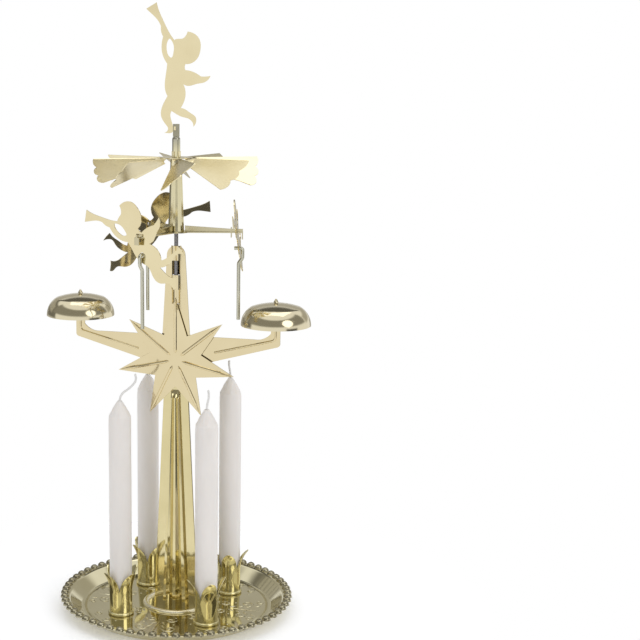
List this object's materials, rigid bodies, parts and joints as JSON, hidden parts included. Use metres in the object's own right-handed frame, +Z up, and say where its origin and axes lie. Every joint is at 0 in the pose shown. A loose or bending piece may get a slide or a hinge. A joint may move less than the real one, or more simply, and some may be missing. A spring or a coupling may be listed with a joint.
{
  "type": "candle-driven angel chime carousel",
  "caption": "Brass angel chime: candles on a beaded round tray turn a fan carousel, whose flying angels swing rods against bells on the arms of a starred stand.",
  "frame": {"origin": "bottom centre of the tray, on the axis of the needle", "axes": "+Z up, the star faces -Y, and the arms with the bells lie along X"},
  "size_m": [0.1348, 0.118, 0.3017],
  "materials": {
    "tray_brass": "polished, pressed with scrolls",
    "cup_brass": "polished",
    "pillar_brass": "polished",
    "sheet_brass": "polished sheet",
    "bell_brass": "mirror polished",
    "tube_brass": "polished",
    "rod_brass": "drawn wire",
    "needle_steel": "blued",
    "wax": "smooth wax",
    "wick": "waxed cotton"
  },
  "bodies": {
    "stand": {"tray": "tray_brass", "candle_cup_1": "cup_brass", "candle_cup_2": "cup_brass", "candle_cup_3": "cup_brass", "candle_cup_4": "cup_brass", "cup_rivets": "cup_brass", "pillar_front": "pillar_brass", "pillar_back": "pillar_brass", "stand_sheet": "sheet_brass", "star": "sheet_brass", "needle": "needle_steel", "bell_knob_left": "bell_brass", "bell_knob_right": "bell_brass"},
    "carousel": {"rotor_tube": "tube_brass", "pivot_cup": "tube_brass", "fan": "sheet_brass", "spider": "sheet_brass", "angel_clip": "tube_brass", "top_angel": "sheet_brass"},
    "bell_left_body": {"bell_left": "bell_brass"},
    "bell_right_body": {"bell_right": "bell_brass"},
    "angel_1_body": {"angel_1": "sheet_brass"},
    "striker_1_body": {"striker_1": "rod_brass"},
    "angel_2_body": {"angel_2": "sheet_brass"},
    "striker_2_body": {"striker_2": "rod_brass"},
    "angel_3_body": {"angel_3": "sheet_brass"},
    "striker_3_body": {"striker_3": "rod_brass"},
    "candle_1_body": {"candle_1": "wax", "wick_1": "wick"},
    "candle_2_body": {"candle_2": "wax", "wick_2": "wick"},
    "candle_3_body": {"candle_3": "wax", "wick_3": "wick"},
    "candle_4_body": {"candle_4": "wax", "wick_4": "wick"}
  },
  "joints": [
    {"name": "carousel_spin", "type": "hinge", "parent": "stand", "child": "carousel", "pos_m": [0, 0, 0.2354], "axis": [0, 0, 1], "continuous": true},
    {"name": "angel_1_rock", "type": "hinge", "parent": "carousel", "child": "angel_1_body", "pos_m": [0.02915, 0.0062, 0.1937], "axis": [-0.2079, 0.9781, 0], "range_deg": [-1.5, 1.5]},
    {"name": "striker_1_swing", "type": "hinge", "parent": "angel_1_body", "child": "striker_1_body", "pos_m": [0.02952, 0.00812, 0.18397], "axis": [0.9781, 0.2079, 0], "range_deg": [-11.5, 11.5]},
    {"name": "angel_2_rock", "type": "hinge", "parent": "carousel", "child": "angel_2_body", "pos_m": [-0.01994, 0.02215, 0.1937], "axis": [-0.7431, -0.6691, 0], "range_deg": [-1.5, 1.5]},
    {"name": "striker_2_swing", "type": "hinge", "parent": "angel_2_body", "child": "striker_2_body", "pos_m": [-0.02179, 0.02151, 0.18397], "axis": [-0.6691, 0.7431, 0], "range_deg": [-11.5, 11.5]},
    {"name": "angel_3_rock", "type": "hinge", "parent": "carousel", "child": "angel_3_body", "pos_m": [-0.00921, -0.02834, 0.1937], "axis": [0.9511, -0.309, 0], "range_deg": [-1.5, 1.5]},
    {"name": "striker_3_swing", "type": "hinge", "parent": "angel_3_body", "child": "striker_3_body", "pos_m": [-0.00773, -0.02963, 0.18397], "axis": [-0.309, -0.9511, 0], "range_deg": [-11.5, 11.5]},
    {"name": "bell_left_turn", "type": "hinge", "parent": "stand", "child": "bell_left_body", "pos_m": [-0.0504, 0, 0.1582], "axis": [0, 0, 1], "continuous": true},
    {"name": "bell_right_turn", "type": "hinge", "parent": "stand", "child": "bell_right_body", "pos_m": [0.0504, 0, 0.1582], "axis": [0, 0, 1], "continuous": true},
    {"name": "candle_1_lift", "type": "slide", "parent": "stand", "child": "candle_1_body", "axis": [0, 0, 1], "range_m": [0, 0.022]},
    {"name": "candle_2_lift", "type": "slide", "parent": "stand", "child": "candle_2_body", "axis": [0, 0, 1], "range_m": [0, 0.022]},
    {"name": "candle_3_lift", "type": "slide", "parent": "stand", "child": "candle_3_body", "axis": [0, 0, 1], "range_m": [0, 0.022]},
    {"name": "candle_4_lift", "type": "slide", "parent": "stand", "child": "candle_4_body", "axis": [0, 0, 1], "range_m": [0, 0.022]}
  ]
}
